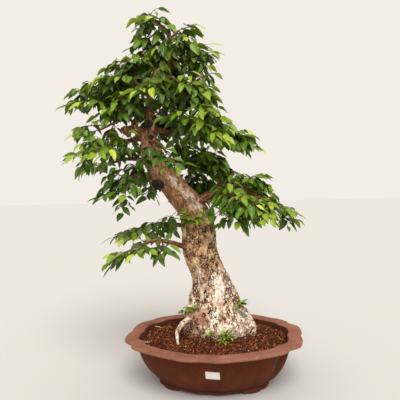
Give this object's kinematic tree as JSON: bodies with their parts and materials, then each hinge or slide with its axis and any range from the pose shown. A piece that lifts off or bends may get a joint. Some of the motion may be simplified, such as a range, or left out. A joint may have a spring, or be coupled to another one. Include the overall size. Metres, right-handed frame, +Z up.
{
  "type": "potted bonsai tree",
  "caption": "Slanting hornbeam bonsai with a flared trunk and tiered, drooping leafy shoots, in a lobed oval clay pot on bracket feet.",
  "frame": {"origin": "on the ground under the middle of the whole box; the middle of the pot's base is at X 0.0755, Y -0.024", "axes": "+Z up the tree, +X to the right along the pot's long side as the label faces the viewer, -Y towards the viewer and out of the labelled side"},
  "size_m": [0.6288, 0.4252, 0.9122],
  "materials": {
    "clay": "matte",
    "soil": "matte",
    "bark": "matte",
    "leaf": "satin",
    "seal": "matte",
    "paper": "matte",
    "mesh": "matte"
  },
  "bodies": {
    "root": {"pot": "clay", "soil": "soil", "trunk": "bark", "label": "paper", "drain_screen_left": "mesh", "drain_screen_right": "mesh", "wound_seal_upper": "seal", "wound_seal_fork": "seal", "wound_seal_side": "seal", "stub_twig_a": "leaf", "low_left_front_a": "leaf", "low_left_front_b": "leaf", "low_left_back_a": "leaf", "low_left_back_b": "leaf", "left_low_a": "leaf", "left_low_b": "leaf", "left_mid_back_a": "leaf", "left_mid_back_b": "leaf", "left_mid_front_a": "leaf", "left_mid_front_b": "leaf", "far_left_a": "leaf", "far_left_b": "leaf", "shelf_left_a": "leaf", "shelf_left_b": "leaf", "shelf_left_back_a": "leaf", "upper_right_a": "leaf", "upper_right_b": "leaf", "upper_right_front_a": "leaf", "upper_right_front_b": "leaf", "right_mid_a": "leaf", "right_mid_b": "leaf", "right_mid_c": "leaf", "right_mid_front_a": "leaf", "right_mid_front_b": "leaf", "right_low_back_a": "leaf", "right_low_back_b": "leaf", "right_pad_a": "leaf", "right_pad_b": "leaf", "right_pad_c": "leaf", "right_pad_back_a": "leaf", "right_pad_back_b": "leaf", "right_pad_front_a": "leaf", "right_pad_front_b": "leaf", "front_mid_a": "leaf", "back_mid_a": "leaf", "back_mid_b": "leaf", "back_right_a": "leaf", "back_upper_a": "leaf", "back_low_a": "leaf", "back_low_b": "leaf", "front_upper_a": "leaf", "apex_left_a": "leaf", "apex_left_b": "leaf", "apex_right_a": "leaf", "sprout_left": "leaf", "sprout_left_low": "leaf", "sprout_right": "leaf", "sprout_front": "leaf", "sprout_front_right": "leaf", "sprout_bend": "leaf"}
  },
  "joints": []
}
